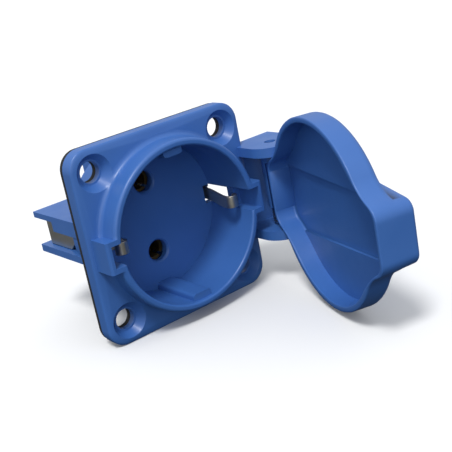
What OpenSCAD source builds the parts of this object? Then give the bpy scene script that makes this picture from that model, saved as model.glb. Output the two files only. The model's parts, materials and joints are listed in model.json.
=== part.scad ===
// Panel socket, two-pole with side earth clips, on a 50 x 50 mm flange, with a hinged lid.
// Every piece is built lying on its back: the panel face is z = 0, +Z points out to the
// user and the hinge is on the +X side. upright() then stands the part on its lower edge,
// so that its front faces -Y and the hinge axis is vertical.

/* [Flange] */
// Width of the flange beside the well
flange_margin = 5.25; // [5.25:0.25:8]
// Thickness of the flange at its edge
flange_t = 3; // [2.4:0.1:4]
// Rise of the front face from its edge to the collar
flange_dome = 1; // [0.6:0.1:1.4]
// Radius of the flange corners
flange_corner_r = 5; // [3:0.5:6]
// Width of the soft rounding along the front edge
flange_round = 2.2; // [1:0.1:2.8]
// Distance of the four fixing holes from the edges of the flange
hole_inset = 6; // [5.6:0.1:6.2]
// Diameter of the fixing holes
hole_d = 5.2; // [4.2:0.1:5.6]
// Diameter of the countersinks at the front face
sink_d = 9.4; // [8:0.1:10]
// Depth of the countersinks
sink_depth = 2.2; // [1.4:0.1:2.6]

/* [Gasket] */
// Thickness of the flange gasket
gasket_t = 1.5; // [1:0.1:2.5]
// Distance from the flange edge to the gasket edge
gasket_inset = 0.2; // [0:0.1:1]

/* [Collar and well] */
// Bore of the collar and the well
well_d = 39.5; // [39:0.1:40.5]
// Wall of the collar in front of the flange
collar_wall = 1.85; // [1.5:0.05:2.1]
// Height of the collar rim above the flange edge
collar_h = 7.3; // [6:0.1:9]
// Radius of the fillet at the foot of the collar
collar_fillet = 1.4; // [0.6:0.1:1.6]
// Depth of the well below the rim
well_depth = 17.5; // [16.5:0.1:19]
// Wall of the well behind the flange
well_wall = 1.6; // [1.4:0.1:2]
// Thickness of the well floor
floor_t = 2.2; // [2:0.1:3]
// Width of the two guide ribs in the well
rib_w = 5.4; // [4:0.1:6]
// Height of the guide ribs
rib_h = 1.9; // [1.2:0.1:2.4]
// Distance from the rim to the front ends of the guide ribs
rib_drop = 1.2; // [0.8:0.1:4]
// Spacing of the two pin holes
pin_spacing = 19; // [18.5:0.1:19.5]
// Diameter of the pin holes
pin_hole_d = 5.6; // [5.2:0.1:6]
// Width of the clip blocks outside the collar
block_w = 8; // [7.4:0.1:9]
// How far the clip blocks stand out of the collar
block_out = 2.3; // [1.6:0.1:2.5]
// Width of the notch in front of each earth clip
notch_w = 5.6; // [5:0.1:6.4]

/* [Earth strap] */
// Thickness of the earth strap
strap_t = 0.8; // [0.6:0.1:1]
// Width of the strap behind the well
strap_w = 7.2; // [6.6:0.1:7.4]
// Width of the contact tongues
tongue_w = 3.2; // [2.6:0.1:3.6]
// Width of the slots for the tongues
clip_slot_w = 4.9; // [4.4:0.1:5.2]
// Distance between the two contact tongues
clip_gap = 33; // [32:0.1:34]
// Inside radius of the strap bends
bend_r = 1.4; // [0.8:0.1:2]

/* [Contacts] */
// Bore of the pin sleeves
sleeve_bore = 4.9; // [4.8:0.1:5]
// Wall of the pin sleeves
sleeve_wall = 0.9; // [0.7:0.1:1]
// Length of the pin sleeves
sleeve_len = 9; // [8:0.5:10]
// Depth of the pin sleeves behind the well floor
sleeve_recess = 1.2; // [1:0.1:1.6]
// Width of the terminal blocks
terminal_w = 7.6; // [6.6:0.1:8]
// Height of the terminal blocks, outwards from the pins
terminal_h = 5.4; // [5.2:0.1:5.8]
// Length of the terminal blocks
terminal_len = 9; // [8:0.5:10]
// Bore for the wire
wire_bore = 3.2; // [3:0.1:3.4]
// Diameter of the terminal screws
screw_d = 3.5; // [3:0.1:3.6]

/* [Carrier] */
// Length of the plug's pins, kept free behind the well floor
plug_pin_len = 19; // [18.5:0.5:20]
// Depth of the part behind the panel face
rear_depth = 29.5; // [29:0.5:36]
// Thickness of the carrier base
base_t = 2.5; // [2:0.1:3]
// Thickness of the upper strap guard
upper_guard_t = 1.6; // [1.2:0.1:2.2]
// Thickness of the lower strap guard
lower_guard_t = 2; // [1.4:0.1:2.4]
// How far the guards reach beyond the strap
guard_out = 1.6; // [1.3:0.1:1.8]
// Wall of the terminal towers
tower_wall = 1.2; // [1:0.1:1.4]
// Distance from the rear ends of the guards to the lip over the strap
lip_start = 9.5; // [6:0.5:12]

/* [Hinge] */
// Distance from the round part of the lid to the hinge axis
hinge_out = 6.4; // [6:0.1:7.4]
// Height of the hinge axis above the flange edge
hinge_h = 6; // [5.6:0.1:7]
// Diameter of the hinge pin
pin_d = 3; // [2.4:0.1:3.2]
// Width over the two hinge cheeks
cheek_span = 25; // [24.4:0.2:28]
// Thickness of each hinge cheek
cheek_t = 2.5; // [2:0.1:3]
// Radius of the cheeks around the pin
cheek_r = 7; // [5.5:0.1:7.4]
// Opening of the lid as drawn
lid_open = 72.6; // [0:0.1:110]

/* [Lid] */
// How far the round part of the lid reaches past the collar
lid_over = 2; // [1.8:0.1:2.8]
// Wall of the lid
lid_wall = 1.5; // [1.2:0.1:1.6]
// Depth of the round part of the lid
lid_depth = 6.4; // [6:0.1:8]
// Rise of the bar above the round part, at the tab
bar_rise = 3.6; // [2:0.1:5]
// Extra depth inside the bar
bar_hollow = 1.2; // [0.6:0.1:1.6]
// How far the tab stands out of the round part, at its mouth
tab_out = 4.7; // [4:0.1:7.4]
// Width over the end of the tab, at its mouth
tab_w = 16.6; // [15:0.1:18]
// Radius of the blend between the tab and the round part
tab_blend_r = 4; // [2:0.5:5]

/* [Hidden] */
$fn = 96;

blue = [0.13, 0.31, 0.62];
rubber = [0.06, 0.06, 0.06];
brass = [0.78, 0.62, 0.32];
steel = [0.70, 0.71, 0.72];
tinned = [0.66, 0.64, 0.58];

eps = 0.02;             // overlap that makes two shapes of one piece merge
cut = 1;                // how far a cutter runs past the face it opens
seat_gap = 0.1;         // clearance of pieces that are pushed into a pocket
run_gap = 0.1;          // radial clearance of the lid on its pin
pin_grip = 0.01;        // radial clearance of the pin in the cheeks
lid_gap = 0.3;          // clearance between the collar rim and the closed lid

// Levels along Z, from the panel face
z_back = gasket_t;                       // back of the flange
z_edge = gasket_t + flange_t;            // top of the flange's straight edge
z_face = z_edge + flange_dome;           // front face round the collar
z_rim = z_edge + collar_h;               // collar rim
z_floor = z_rim - well_depth;            // well floor
z_well_back = z_floor - floor_t;         // back of the well
z_base_back = z_well_back - base_t;      // back of the carrier base
z_rear = -rear_depth;                    // rear ends of the strap guards

// Collar, well and flange
well_r = well_d / 2;
flange_w = well_d + 2 * flange_margin;
hole_spacing = flange_w - 2 * hole_inset;
collar_r = well_r + collar_wall;
tube_r = well_r + well_wall;
block_x = collar_r + block_out;          // outer face of the clip blocks
notch_x = block_x - 1.3;                 // bottom of the notch in the clip block
groove_x = well_r + 0.7;                 // bottom of the groove in front of each slot
z_groove = z_edge - 0.5;                 // front end of the groove
rib_base = 3;                            // how far a guide rib reaches into the wall
pin_chamfer = 0.3;                       // at the back of each pin hole
gasket_bore_r = tube_r + 0.65;

// Strap guards and strap
guard_y = strap_w / 2 + 0.2;             // inner faces of the guards
arm_x = well_r - 0.35;                   // outer face of the strap's arms
z_strap_rear = z_rear + 1.6;             // rear face of the crossbar
guard_x = arm_x + guard_out;
z_strap_wide = z_base_back - 5;          // where the strap reaches its full width
strap_taper = 2.5;                       // length over which it narrows to a tongue
lip_t = 0.9;
lip_y = 1.2;                             // lower edge of the lip over the strap
z_lip_rear = z_rear + lip_start;

// Terminals
contact_y = pin_spacing / 2;
sleeve_r = sleeve_bore / 2 + sleeve_wall;
z_sleeve_front = z_well_back - sleeve_recess;
z_sleeve_back = z_sleeve_front - sleeve_len;
z_block_front = z_sleeve_back + 3.2;     // the block starts beside the rear of the sleeve
z_block_back = z_block_front - terminal_len;
z_screw = z_block_back + terminal_len / 2;
block_y = contact_y + sleeve_bore / 2 - 0.35;
pin_relief = 0.2;                        // the block stands clear of the pin by this much
block_top = block_y + terminal_h;
wire_y = block_y + wire_bore / 2 + 0.7;
spring_groove = 0.4;                     // depth of the groove for the sleeve spring
spring_w = 1.4;
z_sleeve_spring = z_sleeve_front - 3.6;
screw_r = screw_d / 2;
thread_gap = 0.02;
head_r = screw_r + 1;
head_h = 1.8;
slot_w = 0.8;
slot_depth = 0.9;
clamp_t = 0.6;
clamp_w = 2.6;
clamp_drop = wire_bore / 2 - 0.8;        // screw side of the clamp plate, above the bore's axis
tower_in = terminal_w / 2 + seat_gap;
tower_out = tower_in + tower_wall;
tower_top = block_top + seat_gap + tower_wall;
sleeve_room_r = sleeve_r + 0.4;
z_pin_end = z_floor - plug_pin_len - 0.5;
z_tower_back = z_pin_end - tower_wall;
earth_plate_t = 1;
earth_plate_w = strap_w - 0.4;
nut_w = 6.6;
nut_h = 3;
core_x = nut_w / 2 + 1.6;
carrier_screw_at = [12, 10.6];
carrier_screw_r = 1.45;
carrier_head_r = 3.7;
carrier_head_h = 1.6;
boss_r = 3.1;
boss_h = base_t - 0.2;
boss_floor = 0.7;                        // floor left in front of the pilot hole

// Hinge
hinge_x = collar_r + lid_over + hinge_out;
hinge_z = z_edge + hinge_h;
pin_r = pin_d / 2;
cheek_in = cheek_span / 2 - cheek_t;     // inner faces of the cheeks
bracket_root = flange_w / 2 - 2.4;       // where the bracket starts inside the flange
web_t = 2;                               // plate between the cheeks
barrel_r = pin_r + 1.7;
barrel_gap = 0.3;                        // end play of the barrel
spring_room = 5;                         // length kept free for the spring
barrel_low = -cheek_in + spring_room;
barrel_high = cheek_in - barrel_gap;
wire_r = 0.35;
coil_r = pin_r + 0.75;
coil_turns = 5;
tang = 1.2;                              // length of the spring's end in its hole
pin_recess = 0.6;                        // the pin ends below the outer faces of the cheeks

// Lid, in its own frame: mouth at z = 0, open side down, tab on the -X side
lid_r = collar_r + lid_over;
tab_reach = lid_r + tab_out;
lid_edge_r = 1.8;
bar_corner_r = 3.7;                      // corners of the bar, seen from the front
bar_edge_r = 1.6;                        // rounding along the top of the bar
bar_waist = [14, 5.6];                   // corners behind the tab: from the centre, half spacing
bar_end = [6.5, 5.4];                    // corners at the hinge: from its axis, half spacing
lid_floor = lid_depth - lid_wall;        // inside depth of the round part
bar_low_rise = 1.2;                      // rise of the bar above the round part, at the hinge
knuckle_len = 6;                         // arm of the hinge barrel
z_mouth = z_rim + lid_gap - lid_floor;
axis_z = hinge_z - z_mouth;              // hinge axis above the mouth
draft = 0.08;                            // side slope of the bar, width per height

// ---- Helpers ----

function arc(c, r, a0, a1, n) =
    [for (i = [0:n]) c + r * [cos(a0 + (a1 - a0) * i / n), sin(a0 + (a1 - a0) * i / n)]];

// Points moved sideways by d along a bent line, with mitred corners
function along(p, i) = let (v = p[i + 1] - p[i]) v / norm(v);
function left_of(v) = [-v[1], v[0]];
function mitre(p, i) =
    let (a = i == 0 ? along(p, 0) : along(p, i - 1),
         b = i == len(p) - 1 ? along(p, len(p) - 2) : along(p, i),
         m = left_of(a) + left_of(b))
    2 * m / (m * m);
function offset_line(p, d) = [for (i = [0:len(p) - 1]) p[i] + d * mitre(p, i)];
function reversed(p) = [for (i = [len(p) - 1:-1:0]) p[i]];

// Bent sheet seen edge on: p is the middle line of the sheet
module strip(p, t) {
    polygon(concat(offset_line(p, t / 2), reversed(offset_line(p, -t / 2))));
}

module round_rect(w, h, r) {
    square([w - 2 * r, h], center = true);
    square([w, h - 2 * r], center = true);
    for (sx = [-1, 1], sy = [-1, 1])
        translate([sx * (w / 2 - r), sy * (h / 2 - r)]) circle(r);
}

module both_sides() {
    children();
    mirror([1, 0, 0]) children();
}

module at_corners(d) {
    for (sx = [-1, 1], sy = [-1, 1]) translate([sx * d, sy * d, 0]) children();
}

module at_carrier_screws() {
    for (s = [-1, 1]) translate([s * carrier_screw_at[0], s * carrier_screw_at[1], 0]) children();
}

// Extrudes a shape drawn in X and Z along Y, between y0 and y1
module along_y(y0, y1) {
    translate([0, y1, 0]) rotate([90, 0, 0]) linear_extrude(y1 - y0) children();
}

// Stands the part on its lower edge: front to -Y, up to +Z
module upright() {
    rotate([90, 0, 0]) children();
}

// ---- Front housing ----

module flange_body() {
    r = flange_corner_r;
    post = concat([[0, z_back], [r, z_back]],
                  [for (a = [0:15:90]) [r - flange_round + flange_round * cos(a),
                                        z_edge + flange_dome * 0.8 * sin(a)]],
                  [[0, z_edge + flange_dome * 0.8]]);
    hull() {
        at_corners(flange_w / 2 - r) rotate_extrude($fn = 32) polygon(post);
        translate([0, 0, z_back]) cylinder(r = collar_r + 1, h = z_face - z_back, $fn = 48);
    }
}

module cup() {
    foot = collar_r + collar_fillet;
    rim = 0.85;
    lip = 0.6;
    rotate_extrude() polygon(concat(
        [[0, z_well_back], [tube_r, z_well_back], [tube_r, z_back + eps], [foot, z_back + eps]],
        [[foot, z_face]],
        arc([foot, z_face + collar_fillet], collar_fillet, 270, 180, 6),
        arc([collar_r - rim, z_rim - rim], rim, 0, 90, 6),
        arc([well_r + lip, z_rim - lip], lip, 90, 180, 5),
        [[well_r, z_floor], [0, z_floor]]));
}

module guide_rib(side) {
    translate([0, 0, z_floor - eps]) linear_extrude(well_depth - rib_drop + eps)
        intersection() {
            translate([0, side * (well_r - rib_h + rib_base)]) round_rect(rib_w, 2 * rib_base, 0.8);
            circle(r = well_r + 0.3);
        }
}

// Block outside the collar that houses the front end of an earth clip
module clip_block() {
    x0 = collar_r - 1.2;
    r = 0.8;
    along_y(-block_w / 2, block_w / 2)
        polygon(concat([[x0, z_edge], [block_x, z_edge]],
                       arc([block_x - r, z_rim - r], r, 0, 90, 4), [[x0, z_rim]]));
}

// Notch in the clip block, groove in the collar, and slot through the wall and floor behind it
module clip_cuts() {
    x0 = well_r - 1.5;
    x1 = arm_x - strap_t - 1;
    slit = clip_slot_w / 2;
    translate([x0, -notch_w / 2, z_edge - 1]) cube([notch_x - x0, notch_w, collar_h + 1 + cut]);
    translate([x0, -slit, z_floor]) cube([groove_x - x0, clip_slot_w, z_groove - z_floor]);
    translate([x1, -slit, z_well_back - cut])
        cube([tube_r + cut - x1, clip_slot_w, z_back - 0.4 - z_well_back + cut]);
}

module fixing_hole() {
    sink_bottom_r = hole_d / 2 + 0.5;
    slope = (sink_d / 2 - sink_bottom_r) / sink_depth;
    translate([0, 0, z_back - cut]) cylinder(d = hole_d, h = flange_t + flange_dome + 2 * cut);
    translate([0, 0, z_face - sink_depth])
        cylinder(r1 = sink_bottom_r, r2 = sink_d / 2 + slope * 0.5, h = sink_depth + 0.5);
}

module pin_hole() {
    r = pin_hole_d / 2;
    translate([0, 0, z_well_back - cut]) cylinder(r = r, h = floor_t + 2 * cut);
    translate([0, 0, z_well_back - cut])
        cylinder(r1 = r + pin_chamfer + cut, r2 = r, h = pin_chamfer + cut);
    translate([0, 0, z_floor - 0.5]) cylinder(r1 = r, r2 = r + 0.6, h = 0.6);
}

module cheek() {
    along_y(cheek_in, cheek_span / 2) {
        translate([hinge_x, hinge_z]) circle(r = cheek_r);
        translate([bracket_root, z_back]) square([hinge_x + cheek_r - bracket_root, web_t]);
        translate([hinge_x - cheek_r, z_back]) square([2 * cheek_r, hinge_z - z_back]);
    }
}

module hinge_bracket() {
    translate([bracket_root, -cheek_span / 2, z_back])
        cube([hinge_x + cheek_r - bracket_root, cheek_span, web_t]);
    cheek();
    mirror([0, 1, 0]) cheek();
}

module pin_line(r, y0, y1) {
    translate([hinge_x, y1, hinge_z]) rotate([90, 0, 0]) cylinder(r = r, h = y1 - y0);
}

module tang_hole(y0, y1) {
    translate([coil_r, 0, 0]) pin_line(wire_r + 0.1, y0, y1);
}

// Clears the bore of the collar, which the flange would otherwise close
module well_cutter() {
    difference() {
        translate([0, 0, z_back - cut]) cylinder(r = well_r, h = flange_t + flange_dome + 2 * cut);
        for (s = [-1, 1]) translate([0, s * (well_r - rib_h + rib_base), z_floor - cut])
            linear_extrude(well_depth - rib_drop + cut) round_rect(rib_w, 2 * rib_base, 0.8);
    }
}

module front_housing() {
    color(blue) upright() difference() {
        union() {
            flange_body();
            cup();
            guide_rib(1);
            guide_rib(-1);
            both_sides() clip_block();
            hinge_bracket();
            at_carrier_screws() translate([0, 0, z_well_back - boss_h])
                cylinder(r = boss_r, h = boss_h + eps);
        }
        well_cutter();
        both_sides() clip_cuts();
        at_corners(hole_spacing / 2) fixing_hole();
        for (s = [-1, 1]) translate([0, s * contact_y, 0]) pin_hole();
        at_carrier_screws() translate([0, 0, z_well_back - boss_h - cut])
            cylinder(r = carrier_screw_r, h = boss_h + cut + floor_t - boss_floor);
        pin_line(pin_r + pin_grip, -cheek_span, cheek_span);
        tang_hole(-cheek_in - tang - 0.3, -cheek_in + cut);
    }
}

// ---- Gasket ----

module flange_gasket() {
    w = flange_w - 2 * gasket_inset;
    color(rubber) upright() linear_extrude(gasket_t) difference() {
        round_rect(w, w, flange_corner_r - gasket_inset);
        circle(r = gasket_bore_r);
        for (sx = [-1, 1], sy = [-1, 1])
            translate([sx, sy] * hole_spacing / 2) circle(r = hole_d / 2);
    }
}

// ---- Contact carrier ----

module guards() {
    h = z_well_back - z_rear;
    translate([-guard_x, guard_y, z_rear]) cube([2 * guard_x, upper_guard_t, h]);
    translate([-guard_x, -guard_y - lower_guard_t, z_rear]) cube([2 * guard_x, lower_guard_t, h]);
    both_sides() translate([guard_x - lip_t, lip_y, z_lip_rear])
        cube([lip_t, guard_y - lip_y + eps, z_well_back - z_lip_rear]);
}

module core() {
    z0 = z_strap_rear + strap_t;
    h = z_base_back - z0 + eps;
    translate([-core_x, -guard_y - eps, z0]) cube([2 * core_x, 2 * (guard_y + eps), h]);
    x = arm_x - strap_t - bend_r - 0.8;
    translate([-x, -0.9, z0]) cube([2 * x, 1.8, h]);
}

module tower() {
    translate([-tower_out, guard_y, z_tower_back])
        cube([2 * tower_out, tower_top - guard_y, z_base_back + eps - z_tower_back]);
}

// Room for one contact, which goes in from the front and is held by the floor of the well
module tower_room() {
    translate([0, contact_y, z_pin_end])
        cylinder(r = sleeve_room_r, h = z_well_back - z_pin_end + cut);
    translate([-tower_in, block_y - seat_gap, z_block_back - seat_gap])
        cube([2 * tower_in, terminal_h + 2 * seat_gap, z_well_back - z_block_back + seat_gap + cut]);
    translate([0, wire_y, z_tower_back - cut])
        cylinder(r = wire_bore / 2 + 0.3, h = z_block_back - z_tower_back + cut);
    translate([0, block_top - cut, z_screw]) rotate([-90, 0, 0])
        cylinder(r = head_r + 0.2, h = tower_wall + seat_gap + 2 * cut);
}

module contact_carrier() {
    color(blue) upright() difference() {
        union() {
            translate([0, 0, z_base_back]) cylinder(r = tube_r - 0.6, h = base_t);
            guards();
            core();
            tower();
            mirror([0, 1, 0]) tower();
        }
        tower_room();
        mirror([0, 1, 0]) tower_room();
        both_sides() translate([arm_x - strap_t - 0.2, -guard_y, z_base_back - cut])
            cube([strap_t + 0.4 + cut, 2 * guard_y, base_t + 2 * cut]);
        at_carrier_screws() translate([0, 0, z_base_back - cut])
            cylinder(r = boss_r + seat_gap, h = base_t + 2 * cut);
        translate([0, 0, z_strap_rear + strap_t - cut]) {
            linear_extrude(cut + nut_h + seat_gap) square(nut_w + 2 * seat_gap, center = true);
            cylinder(r = screw_r + 0.3, h = cut + nut_h + 3);
        }
    }
}

module carrier_screw(s) {
    color(steel) upright() translate([s * carrier_screw_at[0], s * carrier_screw_at[1], z_base_back])
        difference() {
            union() {
                translate([0, 0, -carrier_head_h]) cylinder(r = carrier_head_r, h = carrier_head_h);
                translate([0, 0, -eps])
                    cylinder(r = carrier_screw_r - thread_gap, h = base_t + floor_t - boss_floor - 0.4);
            }
            for (a = [0, 90]) rotate(a)
                translate([-carrier_head_r / 2, -slot_w / 2, -carrier_head_h - cut])
                    cube([carrier_head_r, slot_w, cut + slot_depth]);
        }
}

module carrier_screw_left() {
    carrier_screw(-1);
}

module carrier_screw_right() {
    carrier_screw(1);
}

// ---- Earth strap ----

function strap_path() = let (
        x = arm_x - strap_t / 2,
        z = z_strap_rear + strap_t / 2,
        r = bend_r + strap_t / 2)
    concat([[x, z_strap_wide]], arc([x - r, z + r], r, 0, -90, 8),
           arc([r - x, z + r], r, 270, 180, 8), [[-x, z_strap_wide]]);

// From behind the well floor over the contact bow to the hook in the notch
function tongue_path() = let (
        x = arm_x - strap_t / 2,
        xc = clip_gap / 2 + strap_t / 2,
        z = z_edge + 1)
    concat([[x, z_strap_wide + strap_taper - eps], [x, z_well_back]],
           arc([xc + 3, z], 3, 190, 130, 6),
           arc([x + 1.3, z_rim - 3.2], 1, 130, 0, 8));

// Where the strap narrows to the width of the tongue
module taper() {
    translate([arm_x - strap_t, 0, 0]) rotate([90, 0, 90]) linear_extrude(strap_t)
        polygon([[strap_w / 2, z_strap_wide - eps], [tongue_w / 2, z_strap_wide + strap_taper],
                 [-tongue_w / 2, z_strap_wide + strap_taper], [-strap_w / 2, z_strap_wide - eps]]);
}

module earth_strap() {
    color(tinned) upright() difference() {
        union() {
            along_y(-strap_w / 2, strap_w / 2) strip(strap_path(), strap_t);
            both_sides() {
                taper();
                along_y(-tongue_w / 2, tongue_w / 2) strip(tongue_path(), strap_t);
            }
        }
        translate([0, 0, z_strap_rear - cut]) cylinder(r = screw_r + 0.3, h = strap_t + 2 * cut);
    }
}

// ---- Terminal screws, clamp plates and nut ----

// Slotted screw along +Z: the head's seat is at z = 0, the shank points to +Z
module slotted_screw(length) {
    difference() {
        union() {
            translate([0, 0, -head_h]) cylinder(r = head_r, h = head_h);
            translate([0, 0, -eps]) cylinder(r = screw_r, h = length + eps);
        }
        translate([-head_r - cut, -slot_w / 2, -head_h - cut])
            cube([2 * (head_r + cut), slot_w, cut + slot_depth]);
    }
}

module earth_terminal_screw() {
    color(steel) upright() translate([0, 0, z_strap_rear - earth_plate_t])
        slotted_screw(earth_plate_t + strap_t + nut_h + 1.5);
}

module earth_clamp_plate() {
    color(steel) upright() translate([0, 0, z_strap_rear - earth_plate_t])
        linear_extrude(earth_plate_t) difference() {
            round_rect(earth_plate_w, earth_plate_w, 0.6);
            circle(r = screw_r + 0.15);
        }
}

module earth_terminal_nut() {
    color(brass) upright() translate([0, 0, z_strap_rear + strap_t]) linear_extrude(nut_h)
        difference() {
            square(nut_w, center = true);
            circle(r = screw_r + thread_gap);
        }
}

// ---- Live and neutral contacts ----

module contact() {
    color(brass) difference() {
        union() {
            translate([0, contact_y, z_sleeve_back]) cylinder(r = sleeve_r, h = sleeve_len);
            translate([-terminal_w / 2, block_y, z_block_back])
                cube([terminal_w, terminal_h, terminal_len]);
        }
        translate([0, contact_y, z_sleeve_back - cut])
            cylinder(d = sleeve_bore, h = sleeve_len + 2 * cut);
        translate([0, contact_y, z_block_back - cut])
            cylinder(r = sleeve_bore / 2 + pin_relief, h = z_sleeve_back - z_block_back + cut);
        for (a = [45, 135]) translate([0, contact_y, z_block_front + 0.6]) rotate(a)
            translate([-sleeve_r - cut, -slot_w / 2, 0]) cube([2 * (sleeve_r + cut), slot_w, sleeve_len]);
        translate([0, contact_y, z_sleeve_spring]) difference() {
            cylinder(r = sleeve_r + cut, h = spring_w);
            translate([0, 0, -cut]) cylinder(r = sleeve_r - spring_groove, h = spring_w + 2 * cut);
        }
        translate([0, wire_y, z_block_back - cut])
            cylinder(d = wire_bore, h = terminal_len - 1.2 + cut);
        translate([0, wire_y, z_screw]) rotate([-90, 0, 0])
            cylinder(r = screw_r + thread_gap, h = terminal_h);
    }
}

module sleeve_spring() {
    inner = sleeve_r - spring_groove + thread_gap;
    color(steel) translate([0, contact_y, z_sleeve_spring + 0.05]) linear_extrude(spring_w - 0.1)
        difference() {
            circle(r = inner + 0.5);
            circle(r = inner);
            translate([-0.6, -sleeve_r - cut]) square([1.2, sleeve_r]);
        }
}

module terminal_screw() {
    color(steel) translate([0, block_top, z_screw]) rotate([90, 0, 0])
        slotted_screw(block_top - wire_y - clamp_drop);
}

module clamp_plate() {
    color(steel) translate([-clamp_w / 2, wire_y + clamp_drop - clamp_t, z_screw - 3])
        cube([clamp_w, clamp_t, 6]);
}

module live() {
    upright() children();
}

module neutral() {
    upright() mirror([0, 1, 0]) children();
}

module live_contact() {
    live() contact();
}

module neutral_contact() {
    neutral() contact();
}

module live_sleeve_spring() {
    live() sleeve_spring();
}

module neutral_sleeve_spring() {
    neutral() sleeve_spring();
}

module live_terminal_screw() {
    live() terminal_screw();
}

module neutral_terminal_screw() {
    neutral() terminal_screw();
}

module live_clamp_plate() {
    live() clamp_plate();
}

module neutral_clamp_plate() {
    neutral() clamp_plate();
}

// ---- Hinge pin and spring ----

module hinge_pin() {
    end = cheek_span / 2 - pin_recess;
    color(steel) upright() union() {
        pin_line(pin_r, 0.4 - end, end - 0.4);
        for (m = [0, 1]) mirror([0, m, 0]) translate([hinge_x, end, hinge_z]) rotate([90, 0, 0])
            cylinder(r1 = pin_r - 0.4, r2 = pin_r, h = 0.4 + eps);
    }
}

// Middle line of the closing spring: a coil with a straight end in the lower cheek and one in
// the barrel of the lid, as [angle, height]
function coil_line() = let (
        y0 = -cheek_in + 0.3 + wire_r,
        y1 = barrel_low - 0.3 - wire_r,
        wound = 360 * coil_turns - lid_open,
        steps = 20 * coil_turns)
    concat([[0, -cheek_in - tang], [0, y0 - 0.1]],
           [for (i = [1:steps - 1]) [wound * i / steps, y0 + (y1 - y0) * i / steps]],
           [[wound, y1 + 0.1], [wound, barrel_low + tang]]);

function coil_point(q) = [hinge_x + coil_r * cos(q[0]), q[1], hinge_z + coil_r * sin(q[0])];

module lid_spring() {
    sides = 8;
    line = coil_line();
    n = len(line);
    p = [for (q = line) coil_point(q)];
    rings = [for (i = [0:n - 1]) let (
            t = p[min(i + 1, n - 1)] - p[max(i - 1, 0)],
            out = [cos(line[i][0]), 0, sin(line[i][0])],
            side = cross(t, out) / norm(cross(t, out)))
        for (j = [0:sides - 1]) p[i] + wire_r * (out * cos(360 * j / sides) + side * sin(360 * j / sides))];
    walls = [for (i = [0:n - 2], j = [0:sides - 1]) let (k = (j + 1) % sides)
        [i * sides + j, i * sides + k, (i + 1) * sides + k, (i + 1) * sides + j]];
    color(steel) upright() polyhedron(rings, concat(walls,
        [[for (j = [sides - 1:-1:0]) j]], [[for (j = [0:sides - 1]) (n - 1) * sides + j]]), 6);
}

// ---- Lid ----

// Post with sloping sides and a rounded top edge; r is its radius at the mouth of the lid
module bar_post(r, low, h, edge) {
    top = r - draft * h;
    rotate_extrude($fn = 32) polygon(concat([[0, low], [r - draft * low, low]],
        arc([top - edge, h - edge], edge, 0, 90, 4), [[0, h]]));
}

// Bar from the hinge to the tab, from the level low up to tab_top and hinge_top, with its
// side faces moved in by inset
module bar(inset, low, tab_top, hinge_top, edge) {
    r = bar_corner_r - inset;
    hull() for (sy = [-1, 1]) {
        translate([bar_corner_r - tab_reach, sy * (tab_w / 2 - bar_corner_r), 0])
            bar_post(r, low, tab_top, edge);
        translate([-bar_waist[0], sy * bar_waist[1], 0]) bar_post(r, low, tab_top, edge);
        translate([hinge_x - bar_end[0], sy * bar_end[1], 0]) bar_post(r, low, hinge_top, edge);
    }
}

// Hollow corner between the round part and the tab, drawn for the wall's outer or inner face
module tab_blend(inset) {
    r = tab_blend_r;
    y = tab_w / 2 + r;
    x = sqrt(pow(lid_r + r, 2) - y * y);
    a = atan2(y, x);
    polygon(concat([[0, 0]], arc([x, y], r + inset, 180 + a, 270, 6), [[x, 0]]));
}

module tab_blends(inset) {
    for (mx = [0, 1], my = [0, 1]) mirror([mx, 0]) mirror([0, my]) tab_blend(inset);
}

module lid_shell() {
    e = lid_edge_r;
    rotate_extrude() polygon(concat([[0, 0], [lid_r, 0]],
        arc([lid_r - e, lid_depth - e], e, 0, 90, 6), [[0, lid_depth]]));
    bar(0, 0, lid_depth + bar_rise, lid_depth + bar_low_rise, bar_edge_r);
    linear_extrude(lid_depth - e) tab_blends(0);
}

module lid_hollow() {
    e = 1;
    r = lid_r - lid_wall;
    rotate_extrude() polygon(concat([[0, -cut], [r, -cut]],
        arc([r - e, lid_floor - e], e, 0, 90, 4), [[0, lid_floor]]));
    translate([0, 0, -cut]) linear_extrude(cut + lid_floor - 0.4) tab_blends(lid_wall);
    bar(lid_wall, -cut, lid_floor + bar_hollow, lid_floor + bar_hollow, e * 0.6);
}

module barrel() {
    translate([hinge_x, barrel_high, axis_z]) rotate([90, 0, 0])
        cylinder(r = barrel_r, h = barrel_high - barrel_low);
    translate([hinge_x - knuckle_len, barrel_low, axis_z - barrel_r])
        cube([knuckle_len, tab_w / 2 - barrel_low - 0.8, 2 * barrel_r]);
}

module closed_lid() {
    difference() {
        union() {
            lid_shell();
            barrel();
        }
        lid_hollow();
        translate([0, 0, -z_mouth]) {
            pin_line(pin_r + run_gap, -cheek_span, cheek_span);
            tang_hole(barrel_low - cut, barrel_low + tang + 0.3);
        }
    }
}

module lid() {
    color(blue) upright()
        translate([hinge_x, 0, hinge_z]) rotate([0, lid_open, 0]) translate([-hinge_x, 0, -hinge_z])
            translate([0, 0, z_mouth]) closed_lid();
}

front_housing();
flange_gasket();
contact_carrier();
earth_strap();
earth_terminal_screw();
earth_clamp_plate();
earth_terminal_nut();
live_contact();
neutral_contact();
live_sleeve_spring();
neutral_sleeve_spring();
live_terminal_screw();
neutral_terminal_screw();
live_clamp_plate();
neutral_clamp_plate();
carrier_screw_left();
carrier_screw_right();
hinge_pin();
lid_spring();
lid();
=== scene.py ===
import json
import math

import bmesh
import bpy
from mathutils import Matrix, Vector


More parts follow.
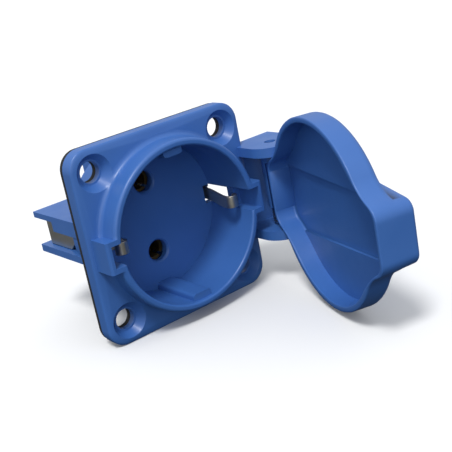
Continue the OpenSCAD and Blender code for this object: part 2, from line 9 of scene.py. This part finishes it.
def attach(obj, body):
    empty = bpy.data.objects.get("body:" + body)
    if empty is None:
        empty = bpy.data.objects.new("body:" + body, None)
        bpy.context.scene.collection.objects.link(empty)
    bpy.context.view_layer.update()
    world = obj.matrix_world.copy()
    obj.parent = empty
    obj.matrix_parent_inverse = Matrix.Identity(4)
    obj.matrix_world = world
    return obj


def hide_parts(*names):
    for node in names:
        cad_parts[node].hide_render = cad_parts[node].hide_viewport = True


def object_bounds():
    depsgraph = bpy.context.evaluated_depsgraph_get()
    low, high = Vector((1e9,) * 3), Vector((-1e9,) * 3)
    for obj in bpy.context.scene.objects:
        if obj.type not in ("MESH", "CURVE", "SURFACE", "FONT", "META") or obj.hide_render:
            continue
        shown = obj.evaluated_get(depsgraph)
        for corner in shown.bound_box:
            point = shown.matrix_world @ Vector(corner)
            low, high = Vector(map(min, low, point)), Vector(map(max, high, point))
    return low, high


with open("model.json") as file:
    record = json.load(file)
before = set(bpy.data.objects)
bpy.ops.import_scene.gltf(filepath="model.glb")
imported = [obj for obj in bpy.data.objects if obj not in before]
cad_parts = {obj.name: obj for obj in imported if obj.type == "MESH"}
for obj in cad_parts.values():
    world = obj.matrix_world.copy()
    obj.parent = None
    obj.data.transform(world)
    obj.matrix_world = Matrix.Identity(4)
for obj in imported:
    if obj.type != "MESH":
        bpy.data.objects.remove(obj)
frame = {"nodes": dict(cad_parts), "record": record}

CAD_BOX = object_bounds()
MM = 0.001


# ---- Camera, light and floor ----

CAMERA_AZIMUTH = math.radians(-35.29)
CAMERA_ELEVATION = math.radians(18.385)
CAMERA_ROLL = math.radians(-11.17)
CAMERA_LENS = 73.64
CAMERA_SENSOR = 36
CAMERA_NEAR = 0.01
CAMERA_PLACE = Vector((-117.18, -191.87, 69.58)) * MM

# The tent's brightness by height, from straight down at 0 to straight up at 1
TENT = ((0.30, (0.035, 0.04, 0.045)), (0.56, (0.50, 0.52, 0.55)), (1.0, (0.80, 0.82, 0.85)))
# Direction to the light, power, and how wide it looks in degrees
KEY_LIGHT = ((-0.396, -0.342, 0.85), 1.9, 14)
FILL_LIGHT = ((-0.55, -0.80, 0.25), 0.45, 40)

FLOOR_FRONT = -2.0
FLOOR_BACK = 1.2
FLOOR_BEND = 0.6
FLOOR_TOP = 2.5
FLOOR_HALF_W = 2.5
FLOOR_BEND_STEPS = 9
FLOOR_TONE = (0.9, 0.9, 0.9)
FLOOR_ROUGHNESS = 0.9


def place_camera():
    """Looks at the socket from the front left and a little above, with a slight roll."""
    data = bpy.data.cameras.new("camera")
    data.lens = CAMERA_LENS
    data.sensor_width = CAMERA_SENSOR
    data.clip_start = CAMERA_NEAR
    camera = bpy.data.objects.new("camera", data)
    bpy.context.collection.objects.link(camera)
    turn = Matrix.Rotation(CAMERA_AZIMUTH, 4, "Z")
    tip = Matrix.Rotation(math.radians(90) - CAMERA_ELEVATION, 4, "X")
    roll = Matrix.Rotation(CAMERA_ROLL, 4, "Z")
    camera.matrix_world = Matrix.Translation(CAMERA_PLACE) @ turn @ tip @ roll
    bpy.context.scene.camera = camera


def sun_light(name, direction, power, spread):
    """A distant soft light; direction points from the socket to the light."""
    data = bpy.data.lights.new(name, "SUN")
    data.energy = power
    data.angle = math.radians(spread)
    lamp = bpy.data.objects.new(name, data)
    bpy.context.collection.objects.link(lamp)
    lamp.rotation_euler = Vector(direction).to_track_quat("Z", "Y").to_euler()


def light_studio():
    """A tent that is bright overhead and dim below, and two soft lights."""
    world = bpy.data.worlds.new("studio")
    world.use_nodes = True
    nodes, links = world.node_tree.nodes, world.node_tree.links
    place = nodes.new("ShaderNodeTexCoord")
    split = nodes.new("ShaderNodeSeparateXYZ")
    tent = nodes.new("ShaderNodeValToRGB")
    stops = tent.color_ramp.elements
    stops[0].position, stops[1].position = TENT[0][0], TENT[-1][0]
    stops.new(TENT[1][0])
    for stop, (_, tone) in zip(stops, TENT):
        stop.color = (*tone, 1)
    lift = nodes.new("ShaderNodeMapRange")
    lift.inputs["From Min"].default_value = -1
    links.new(place.outputs["Generated"], split.inputs["Vector"])
    links.new(split.outputs["Z"], lift.inputs["Value"])
    links.new(lift.outputs["Result"], tent.inputs["Fac"])
    links.new(tent.outputs["Color"], nodes["Background"].inputs["Color"])
    bpy.context.scene.world = world
    sun_light("key", *KEY_LIGHT)
    sun_light("fill", *FILL_LIGHT)


def lay_floor():
    """One pale sweep: a floor that curves up far behind the object."""
    low = CAD_BOX[0].z
    bm = bmesh.new()
    path = [(FLOOR_FRONT, 0.0), (FLOOR_BACK, 0.0)]
    turns = [math.radians(90 * i / FLOOR_BEND_STEPS) for i in range(1, FLOOR_BEND_STEPS + 1)]
    path += [(FLOOR_BACK + FLOOR_BEND * math.sin(a), FLOOR_BEND * (1 - math.cos(a)))
             for a in turns]
    path += [(FLOOR_BACK + FLOOR_BEND, FLOOR_TOP)]
    row = [bm.verts.new((-FLOOR_HALF_W, y, low + z)) for y, z in path]
    edges = [bm.edges.new(pair) for pair in zip(row, row[1:])]
    made = bmesh.ops.extrude_edge_only(bm, edges=edges)
    moved = [g for g in made["geom"] if isinstance(g, bmesh.types.BMVert)]
    bmesh.ops.translate(bm, verts=moved, vec=(2 * FLOOR_HALF_W, 0, 0))
    bmesh.ops.rotate(bm, verts=bm.verts, cent=(0, 0, 0),
                     matrix=Matrix.Rotation(CAMERA_AZIMUTH, 3, "Z"))
    bmesh.ops.recalc_face_normals(bm, faces=bm.faces)
    mesh = bpy.data.meshes.new("floor")
    bm.to_mesh(mesh)
    bm.free()
    mesh.shade_smooth()
    floor = bpy.data.objects.new("floor", mesh)
    bpy.context.collection.objects.link(floor)
    material = bpy.data.materials.new("floor_paper")
    material.use_nodes = True
    shader = material.node_tree.nodes["Principled BSDF"]
    shader.inputs["Base Color"].default_value = (*FLOOR_TONE, 1)
    shader.inputs["Roughness"].default_value = FLOOR_ROUGHNESS
    mesh.materials.append(material)
    floor.visible_diffuse = False
    floor.visible_glossy = False


# ---- Materials ----

NOISE_RANGE = (0.3, 0.7)
GRAIN_DETAIL = 3
GRAIN_HEIGHT = 0.00002
TONE_DETAIL = 4
WIPE_DETAIL = 5
WIPE_FINER = 3
COAT_ROUGHNESS = 0.15


def plain_group(name, inputs, outputs):
    """A node group with named number inputs and named outputs (name: socket type)."""
    group = bpy.data.node_groups.new(name, "ShaderNodeTree")
    for label in inputs:
        group.interface.new_socket(label, in_out="INPUT", socket_type="NodeSocketFloat")
    for label, kind in outputs.items():
        group.interface.new_socket(label, in_out="OUTPUT", socket_type=kind)
    source = group.nodes.new("NodeGroupInput")
    sink = group.nodes.new("NodeGroupOutput")
    return group, source, sink


def build_mottle():
    """Slow variation over a surface, between Low and High."""
    group, source, sink = plain_group(
        "mottle", ("Scale", "Detail", "Low", "High"), {"Value": "NodeSocketFloat"})
    nodes, links = group.nodes, group.links
    place = nodes.new("ShaderNodeTexCoord")
    noise = nodes.new("ShaderNodeTexNoise")
    spread = nodes.new("ShaderNodeMapRange")
    spread.inputs["From Min"].default_value = NOISE_RANGE[0]
    spread.inputs["From Max"].default_value = NOISE_RANGE[1]
    links.new(place.outputs["Object"], noise.inputs["Vector"])
    links.new(source.outputs["Scale"], noise.inputs["Scale"])
    links.new(source.outputs["Detail"], noise.inputs["Detail"])
    links.new(noise.outputs["Fac"], spread.inputs["Value"])
    links.new(source.outputs["Low"], spread.inputs["To Min"])
    links.new(source.outputs["High"], spread.inputs["To Max"])
    links.new(spread.outputs["Result"], sink.inputs["Value"])
    return group


def build_grain():
    """Fine unevenness of a surface, as a normal."""
    group, source, sink = plain_group(
        "grain", ("Scale", "Strength", "Distance"), {"Normal": "NodeSocketVector"})
    nodes, links = group.nodes, group.links
    place = nodes.new("ShaderNodeTexCoord")
    noise = nodes.new("ShaderNodeTexNoise")
    noise.inputs["Detail"].default_value = GRAIN_DETAIL
    bump = nodes.new("ShaderNodeBump")
    links.new(place.outputs["Object"], noise.inputs["Vector"])
    links.new(source.outputs["Scale"], noise.inputs["Scale"])
    links.new(noise.outputs["Fac"], bump.inputs["Height"])
    links.new(source.outputs["Strength"], bump.inputs["Strength"])
    links.new(source.outputs["Distance"], bump.inputs["Distance"])
    links.new(bump.outputs["Normal"], sink.inputs["Normal"])
    return group


MOTTLE = build_mottle()
GRAIN = build_grain()


def place_group(material, group, **values):
    """Places a shared effect in a material, with that material's own values."""
    node = material.node_tree.nodes.new("ShaderNodeGroup")
    node.node_tree = group
    for label, value in values.items():
        node.inputs[label].default_value = value
    return node


def finish_material(name, light, dark, rough, grain, metallic=0.0, coat=0.0, scale=60):
    """Two close tones, mottled roughness (low, high) and a fine grain (scale, strength)."""
    material = bpy.data.materials.new(name)
    material.use_nodes = True
    nodes, links = material.node_tree.nodes, material.node_tree.links
    shader = nodes["Principled BSDF"]
    shader.inputs["Metallic"].default_value = metallic
    shader.inputs["Coat Weight"].default_value = coat
    shader.inputs["Coat Roughness"].default_value = COAT_ROUGHNESS
    tone = place_group(material, MOTTLE, Scale=scale, Detail=TONE_DETAIL, Low=0, High=1)
    mix = nodes.new("ShaderNodeMix")
    mix.data_type = "RGBA"
    mix.inputs["A"].default_value = (*dark, 1)
    mix.inputs["B"].default_value = (*light, 1)
    links.new(tone.outputs["Value"], mix.inputs["Factor"])
    links.new(mix.outputs["Result"], shader.inputs["Base Color"])
    wipe = place_group(material, MOTTLE, Scale=scale * WIPE_FINER, Detail=WIPE_DETAIL,
                       Low=rough[0], High=rough[1])
    links.new(wipe.outputs["Value"], shader.inputs["Roughness"])
    skin = place_group(material, GRAIN, Scale=grain[0], Strength=grain[1],
                       Distance=GRAIN_HEIGHT)
    links.new(skin.outputs["Normal"], shader.inputs["Normal"])
    return material


BLUE = finish_material("blue_moulding", (0.049, 0.152, 0.455), (0.041, 0.134, 0.415),
                       (0.34, 0.46), (1500, 0.05), coat=0.05)
RUBBER = finish_material("black_rubber", (0.022, 0.023, 0.023), (0.012, 0.013, 0.013),
                         (0.65, 0.9), (2500, 0.5))
STRAP = finish_material("tinned_strap", (0.60, 0.57, 0.49), (0.50, 0.47, 0.40),
                        (0.28, 0.45), (1200, 0.15), metallic=1.0)
BRASS = finish_material("contact_brass", (0.42, 0.31, 0.15), (0.33, 0.24, 0.12),
                        (0.32, 0.5), (1500, 0.15), metallic=1.0)
STEEL = finish_material("screw_steel", (0.62, 0.62, 0.61), (0.50, 0.50, 0.50),
                        (0.25, 0.42), (1500, 0.15), metallic=1.0)
SPRING = finish_material("spring_steel", (0.55, 0.55, 0.54), (0.42, 0.42, 0.42),
                         (0.2, 0.35), (1500, 0.1), metallic=1.0)
FINISH = {"blue_moulding": BLUE, "black_rubber": RUBBER, "tinned_strap": STRAP,
          "contact_brass": BRASS, "screw_steel": STEEL, "spring_steel": SPRING}


def dress_nodes():
    """Gives every CAD node the finish of its slot."""
    for row in frame["record"]["subparts"]:
        node = frame["nodes"][row["node"]]
        for place in node.material_slots:
            place.material = FINISH[row["material_slot"]]


# ---- Shapes shared by the moulded pieces ----

# From a shape drawn in millimetres, front up, to its place on an upright panel in metres
UPRIGHT = Matrix.Rotation(math.radians(90), 4, "X") @ Matrix.Scale(MM, 4)

Z_RIM = 11.8
HINGE_X = 30.0
HINGE_Z = 10.5
LID_OPEN = math.radians(72.6)
LEVEL_GAP = 0.001
SMOOTHING_WEIGHT = 80


def make_piece(bm, name, material):
    """One piece from a shape that is in its place, in metres."""
    mesh = bpy.data.meshes.new(name)
    bm.to_mesh(mesh)
    bm.free()
    piece = bpy.data.objects.new(name, mesh)
    bpy.context.collection.objects.link(piece)
    mesh.materials.append(material)
    mesh.shade_smooth()
    return piece


def place_piece(bm, name, place, material):
    """One piece from a shape drawn in millimetres, put where place says."""
    bmesh.ops.transform(bm, matrix=place, verts=bm.verts)
    return make_piece(bm, name, material)


def round_off(piece, radius, angle):
    """Rounds the edges that are sharper than an angle."""
    edge = piece.modifiers.new("rounded_edges", "BEVEL")
    edge.width = radius * MM
    edge.segments = 2
    edge.limit_method = "ANGLE"
    edge.angle_limit = math.radians(angle)
    return edge


def shade_evenly(piece):
    even = piece.modifiers.new("even_shading", "WEIGHTED_NORMAL")
    even.weight = SMOOTHING_WEIGHT


def round_edges(bm, edges, radius, steps):
    bmesh.ops.bevel(bm, geom=edges, offset=radius, offset_type="OFFSET", segments=steps,
                    profile=0.5, affect="EDGES", clamp_overlap=True, material=-1)


# ---- Lid, drawn shut, lying on its mouth at z = 0, with the tab on the -X side ----

LID_R = 23.6
LID_DEPTH = 6.4
LID_WALL = 1.5
LID_FLOOR = LID_DEPTH - LID_WALL
BAR_POSTS = ((-24.25, 4.6), (-14.0, 5.6), (23.5, 5.4))
BAR_CORNER_R = 3.7
BAR_TOP = 10.0
BAR_TOP_HINGE = 7.6
BAR_DRAFT = 0.08
BLEND_R = 4.0
LID_STEPS = 360
LID_EDGE_R = 1.8
LID_EDGE_STEPS = 6
BAR_EDGE_R = 1.6
BAR_EDGE_STEPS = 4
CHANNEL_DEEPER = 1.0
# The lines of the channel's two sides, each from the hinge end to the tab end
CHANNEL_SIDES = (((16, 6.7), (-17, 6.9)), ((16, -10.2), (-17, -7.8)))
CHANNEL_MIDDLE_Y = -1
CHANNEL_HALF_W = 5
CHANNEL_END = 15
SAME_FACE = 0.003
STANDING_TILT = 0.5
LEVEL_TILT = 0.9
FLAT_TILT = 0.995
FLOOR_EDGE_R = 0.9
FLOOR_EDGE_STEPS = 4
MOUTH_EDGE_R = 0.3
MOUTH_EDGE_STEPS = 2
LID_REST_GAP = 0.3
Z_MOUTH = Z_RIM + LID_REST_GAP - LID_FLOOR
AXIS_Z = HINGE_Z - Z_MOUTH
BARREL_R = 3.2
BARREL_BORE_R = 1.6
BARREL_CHAMFER = 0.25
BARREL_LOW = -5.0
BARREL_HIGH = 9.7
BARREL_STEPS = 64
ARM_LEN = 2.3
ARM_HIGH = 7.5
ARM_THINNER = 0.3


REACH_FROM, REACH_TO, REACH_STEPS = 3.0, 40.0, 34


def bar_distance(x, y):
    """Distance from the outline of the bar at its mouth; negative inside."""
    ring = [Vector(p) for p in BAR_POSTS] + [Vector((a, -b)) for a, b in reversed(BAR_POSTS)]
    p = Vector((x, y))
    near = math.inf
    inside = True
    for a, b in zip(ring, ring[1:] + ring[:1]):
        side = b - a
        t = min(max((p - a).dot(side) / side.length_squared, 0), 1)
        near = min(near, (p - a - side * t).length)
        if side.cross(p - a) > 0:
            inside = False
    return (-near if inside else near) - BAR_CORNER_R


def lid_distance(x, y, lean=0.0, blend=BLEND_R, shrink=0.0):
    """Distance from the outline of the lid, with hollow blends between tab and round part."""
    a = math.hypot(x, y) - LID_R + shrink
    b = bar_distance(x, y) + lean
    near, far = min(a, b), max(a, b)
    if far > blend:
        return near
    return max(blend, near) - math.hypot(max(blend - a, 0), max(blend - b, 0))


def reach(angle, inset, distance, **how):
    """How far from the centre the outline lies along an angle, moved in by inset."""
    c, s = math.cos(angle), math.sin(angle)
    low, high = REACH_FROM, REACH_TO
    for _ in range(REACH_STEPS):
        mid = (low + high) / 2
        if distance(c * mid, s * mid, **how) + inset < 0:
            low = mid
        else:
            high = mid
    return low


def shape_ring(verts, z, inset, distance, **how):
    """Puts a ring of points on an outline, each at its own angle, at the level z."""
    for vert in verts:
        angle = math.atan2(vert.co.y, vert.co.x)
        r = reach(angle, inset, distance, **how)
        vert.co = (r * math.cos(angle), r * math.sin(angle), z)


def next_ring(bm, edges):
    """Extrudes a ring of edges and gives the new ring's edges and points."""
    made = bmesh.ops.extrude_edge_only(bm, edges=edges)["geom"]
    verts = [g for g in made if isinstance(g, bmesh.types.BMVert)]
    fresh = set(verts)
    ring = [g for g in made if isinstance(g, bmesh.types.BMEdge) and set(g.verts) <= fresh]
    return ring, verts


def level_faces(bm, z):
    return [f for f in bm.faces if all(abs(v.co.z - z) < LEVEL_GAP for v in f.verts)]


def cut_level(bm, z, a, b):
    """Cuts the flat faces at the level z along the line through a and b."""
    faces = level_faces(bm, z)
    parts = faces + [e for f in faces for e in f.edges] + [v for f in faces for v in f.verts]
    along = Vector((b[0] - a[0], b[1] - a[1], 0))
    bmesh.ops.bisect_plane(bm, geom=list(dict.fromkeys(parts)), dist=LEVEL_GAP / 2,
                           plane_co=(a[0], a[1], z), plane_no=(-along.y, along.x, 0))


def raise_faces(bm, faces):
    """Extrudes a group of faces, leaves none behind, and gives the new points."""
    made = bmesh.ops.extrude_face_region(bm, geom=faces)["geom"]
    bmesh.ops.delete(bm, geom=[f for f in faces if f.is_valid], context="FACES")
    return [g for g in made if isinstance(g, bmesh.types.BMVert)]


def bar_side(k, out, side):
    """Two points of the bar's side line behind post k, moved out by the corner radius less out."""
    a, b = Vector(BAR_POSTS[k]), Vector(BAR_POSTS[k + 1])
    along = (b - a).normalized()
    normal = Vector((-along.y, along.x)) * (BAR_CORNER_R - out)
    return [(p.x, side * p.y) for p in (a + normal, b + normal)]


def bar_top(x):
    """Level of the top of the bar, which slopes down towards the hinge."""
    waist, hinge = BAR_POSTS[1][0], BAR_POSTS[2][0]
    t = max(0.0, (x - waist) / (hinge - waist))
    return BAR_TOP - (BAR_TOP - BAR_TOP_HINGE) * t


def model_lid_body():
    """The lid's shell with its rounded back, the bar on it and the hollow inside."""
    bm = bmesh.new()
    bmesh.ops.create_circle(bm, cap_ends=False, radius=LID_R, segments=LID_STEPS)
    mouth = list(bm.edges)
    shape_ring(bm.verts, 0, 0, lid_distance)
    back = mouth
    for k in range(LID_EDGE_STEPS + 1):
        turn = math.radians(90 * k / LID_EDGE_STEPS)
        z = LID_DEPTH - LID_EDGE_R * (1 - math.sin(turn))
        back, verts = next_ring(bm, back)
        shape_ring(verts, z, 0, lid_distance, lean=BAR_DRAFT * z,
                   shrink=LID_EDGE_R * (1 - math.cos(turn)))
    bmesh.ops.edgeloop_fill(bm, edges=back)
    lip, verts = next_ring(bm, mouth)
    shape_ring(verts, 0, LID_WALL, lid_distance, blend=BLEND_R + LID_WALL)
    foot, verts = next_ring(bm, lip)
    shape_ring(verts, LID_FLOOR, LID_WALL, lid_distance, blend=BLEND_R + LID_WALL)
    bmesh.ops.edgeloop_fill(bm, edges=foot)

    # The bar stands out of the back
    for side in (1, -1):
        for k in (0, 1):
            cut_level(bm, LID_DEPTH, *bar_side(k, BAR_DRAFT * LID_DEPTH, side))
    waist = BAR_POSTS[1][0]
    cut_level(bm, LID_DEPTH, (waist, -1), (waist, 1))
    middle = [f for f in level_faces(bm, LID_DEPTH)
              if bar_distance(*f.calc_center_median_weighted().xy) < -BAR_DRAFT * LID_DEPTH]
    for vert in raise_faces(bm, middle):
        top = bar_top(vert.co.x)
        angle = math.atan2(vert.co.y, vert.co.x)
        r = reach(angle, BAR_DRAFT * top, bar_distance)
        vert.co = (r * math.cos(angle), r * math.sin(angle), top)

    # The channel under the bar is a little deeper than the round floor
    for line in CHANNEL_SIDES:
        cut_level(bm, LID_FLOOR, *line)
    middle = [f for f in level_faces(bm, LID_FLOOR)
              if abs(f.calc_center_median_weighted().y - CHANNEL_MIDDLE_Y) < CHANNEL_HALF_W]
    for vert in raise_faces(bm, middle):
        vert.co.z = LID_FLOOR + CHANNEL_DEEPER

    # The cuts that lie across a flat face are not needed any more
    bm.normal_update()
    cuts = [e for e in bm.edges if min(v.co.z for v in e.verts) > LID_FLOOR + CHANNEL_DEEPER / 2
            and all(abs(f.normal.z) > FLAT_TILT for f in e.link_faces)]
    bmesh.ops.dissolve_limit(bm, angle_limit=SAME_FACE, verts=[], edges=cuts)
    bmesh.ops.recalc_face_normals(bm, faces=bm.faces)
    return bm


def round_lid(bm):
    """Rounds the bar's edges, the corners of the floor inside and the mouth."""
    def chosen(test):
        return [e for e in bm.edges if len(e.link_faces) == 2 and test(e)]

    def level(e, z):
        return all(abs(v.co.z - z) < 2 * LEVEL_GAP for v in e.verts)

    def flat(e):
        """One face beside the edge is level, and the other one stands."""
        tilts = sorted(abs(f.normal.z) for f in e.link_faces)
        return tilts[0] < STANDING_TILT and tilts[1] > LEVEL_TILT

    bar = chosen(lambda e: min(v.co.z for v in e.verts) > BAR_TOP_HINGE - 1 and flat(e)
                 and e.is_convex)
    round_edges(bm, bar, BAR_EDGE_R, BAR_EDGE_STEPS)
    bm.normal_update()
    inside = chosen(lambda e: level(e, LID_FLOOR) and flat(e) and not e.is_convex
                    and math.hypot(*e.verts[0].co.xy) > CHANNEL_END)
    round_edges(bm, inside, FLOOR_EDGE_R, FLOOR_EDGE_STEPS)
    bm.normal_update()
    mouth = chosen(lambda e: level(e, 0) and flat(e))
    round_edges(bm, mouth, MOUTH_EDGE_R, MOUTH_EDGE_STEPS)
    bmesh.ops.dissolve_degenerate(bm, dist=LEVEL_GAP / 2, edges=bm.edges)


def model_barrel():
    """The lid's hinge barrel with its arm."""
    bm = bmesh.new()
    r, bore, chamfer = BARREL_R, BARREL_BORE_R, BARREL_CHAMFER
    low, high = BARREL_LOW, BARREL_HIGH
    profile = [(bore, low), (r - chamfer, low), (r, low + chamfer), (r, high - chamfer),
               (r - chamfer, high), (bore, high)]
    verts = [bm.verts.new((x, y, 0)) for x, y in profile]
    edges = [bm.edges.new(pair) for pair in zip(verts, verts[1:] + verts[:1])]
    bmesh.ops.spin(bm, geom=verts + edges, cent=(0, 0, 0), axis=(0, 1, 0), angle=2 * math.pi,
                   steps=BARREL_STEPS, use_merge=True)
    bmesh.ops.remove_doubles(bm, verts=bm.verts, dist=LEVEL_GAP)
    bmesh.ops.recalc_face_normals(bm, faces=bm.faces)
    bmesh.ops.translate(bm, verts=bm.verts, vec=(HINGE_X, 0, AXIS_Z))
    made = bmesh.ops.create_cube(bm, size=1)["verts"]
    bmesh.ops.scale(bm, verts=made, vec=(ARM_LEN, ARM_HIGH - low, 2 * r - ARM_THINNER))
    bmesh.ops.translate(bm, verts=made, vec=(HINGE_X - bore - ARM_LEN / 2,
                                             (low + ARM_HIGH) / 2, AXIS_Z))
    return bm


def build_lid():
    """The lid, swung open on its pin."""
    swing = (Matrix.Translation((HINGE_X, 0, HINGE_Z)) @ Matrix.Rotation(LID_OPEN, 4, "Y")
             @ Matrix.Translation((-HINGE_X, 0, Z_MOUTH - HINGE_Z)))
    bm = model_lid_body()
    round_lid(bm)
    body = place_piece(bm, "lid_shell", UPRIGHT @ swing, BLUE)
    barrel = place_piece(model_barrel(), "lid_barrel", UPRIGHT @ swing, BLUE)
    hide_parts("lid")
    for piece in (body, barrel):
        shade_evenly(piece)
        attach(piece, "lid")


# ---- Pieces that keep the shape of their solid and get rounded edges ----

HOUSING_EDGE_R = 0.3
CARRIER_EDGE_R = 0.25
COPY_EDGE_ANGLE = 32
COPY_FLAT_ANGLE = 0.6
COPY_MERGE = 0.002


def soft_copy(node, name, radius):
    """A merged copy of a moulded solid with its edges rounded, which stands for the solid."""
    bm = bmesh.new()
    bm.from_mesh(frame["nodes"][node].data)
    bmesh.ops.remove_doubles(bm, verts=bm.verts, dist=COPY_MERGE * MM)
    bmesh.ops.dissolve_limit(bm, angle_limit=math.radians(COPY_FLAT_ANGLE), verts=bm.verts,
                             edges=bm.edges, use_dissolve_boundaries=False, delimit={"NORMAL"})
    piece = make_piece(bm, name, BLUE)
    edge = round_off(piece, radius, COPY_EDGE_ANGLE)
    edge.miter_outer = "MITER_ARC"
    shade_evenly(piece)
    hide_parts(node)
    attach(piece, "socket")


def build_housing():
    soft_copy("front_housing", "housing", HOUSING_EDGE_R)
    soft_copy("contact_carrier", "carrier", CARRIER_EDGE_R)


# ---- Earth strap: one bent sheet from clip to clip ----

STRAP_T = 0.8
STRAP_ARM_X = 19.0
STRAP_REAR_Z = -27.5
STRAP_BEND_R = 1.8
STRAP_HOLE_R = 2.05
STRAP_HALF_W = 3.6
STRAP_EDGE_R = 0.12
STRAP_EDGE_ANGLE = 50
TAPER_FROM = -15.4
TAPER_TO = -12.9
TONGUE_HALF_W = 1.6
# How far the tongue leans in from the arm, at each height of its bow
TONGUE_BOW = ((-9.0, 0), (-6.5, 0.1), (-4.0, 0.5), (-1.0, 1.3), (2.0, 2.2), (4.6, 2.9), (5.6, 3.1))
HOOK_R = 1.3
HOOK_Z = 6.6
HOOK_END = -30
BEND_STEPS = 8
HOOK_STEPS = 9
HOLE_STEPS = 40


def arc_points(cx, cz, r, start, end, steps):
    """Points along an arc, with its ends given in degrees."""
    turns = [math.radians(start + (end - start) * i / steps) for i in range(steps + 1)]
    return [(cx + r * math.cos(a), cz + r * math.sin(a)) for a in turns]


def strap_line():
    """The sheet's middle line on the hinge side, from the rear to the hook: (x, z, half width)."""
    x, w, t = STRAP_ARM_X, STRAP_HALF_W, TONGUE_HALF_W
    bend = arc_points(x - STRAP_BEND_R, STRAP_REAR_Z + STRAP_BEND_R, STRAP_BEND_R, -90, 0,
                      BEND_STEPS)
    bow_x = x - TONGUE_BOW[-1][1]
    hook = arc_points(bow_x + HOOK_R, HOOK_Z, HOOK_R, 180, HOOK_END, HOOK_STEPS)
    return ([(px, pz, w) for px, pz in bend] + [(x, TAPER_FROM, w), (x, TAPER_TO, t)]
            + [(x - lean, z, t) for z, lean in TONGUE_BOW] + [(px, pz, t) for px, pz in hook])


def build_strap():
    """The strap with both earth clips, as a sheet that is given its thickness at the end."""
    half = strap_line()
    line = [(-x, z, w) for x, z, w in reversed(half)] + half
    bm = bmesh.new()
    row = [bm.verts.new((x, -w, z)) for x, z, w in line]
    edges = [bm.edges.new(pair) for pair in zip(row, row[1:])]
    made = bmesh.ops.extrude_edge_only(bm, edges=edges)["geom"]
    for vert in [g for g in made if isinstance(g, bmesh.types.BMVert)]:
        vert.co.y = -vert.co.y

    # The hole for the terminal screw
    plate = level_faces(bm, STRAP_REAR_Z)
    border = [e for f in plate for e in f.edges]
    bmesh.ops.delete(bm, geom=plate, context="FACES_ONLY")
    hole = bmesh.ops.create_circle(bm, cap_ends=False, radius=STRAP_HOLE_R, segments=HOLE_STEPS,
                                   matrix=Matrix.Translation((0, 0, STRAP_REAR_Z)))["verts"]
    border += list(dict.fromkeys(e for v in hole for e in v.link_edges))
    bmesh.ops.triangle_fill(bm, edges=border, use_beauty=True)
    bmesh.ops.recalc_face_normals(bm, faces=bm.faces)
    piece = place_piece(bm, "strap", UPRIGHT, STRAP)
    wall = piece.modifiers.new("sheet", "SOLIDIFY")
    wall.thickness = STRAP_T * MM
    wall.offset = 0
    wall.use_even_offset = True
    round_off(piece, STRAP_EDGE_R, STRAP_EDGE_ANGLE)
    shade_evenly(piece)
    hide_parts("earth_strap")
    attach(piece, "socket")


# ---- The scene ----

bpy.context.scene.view_settings.view_transform = "Standard"
place_camera()
light_studio()
lay_floor()
dress_nodes()
build_lid()
build_housing()
build_strap()
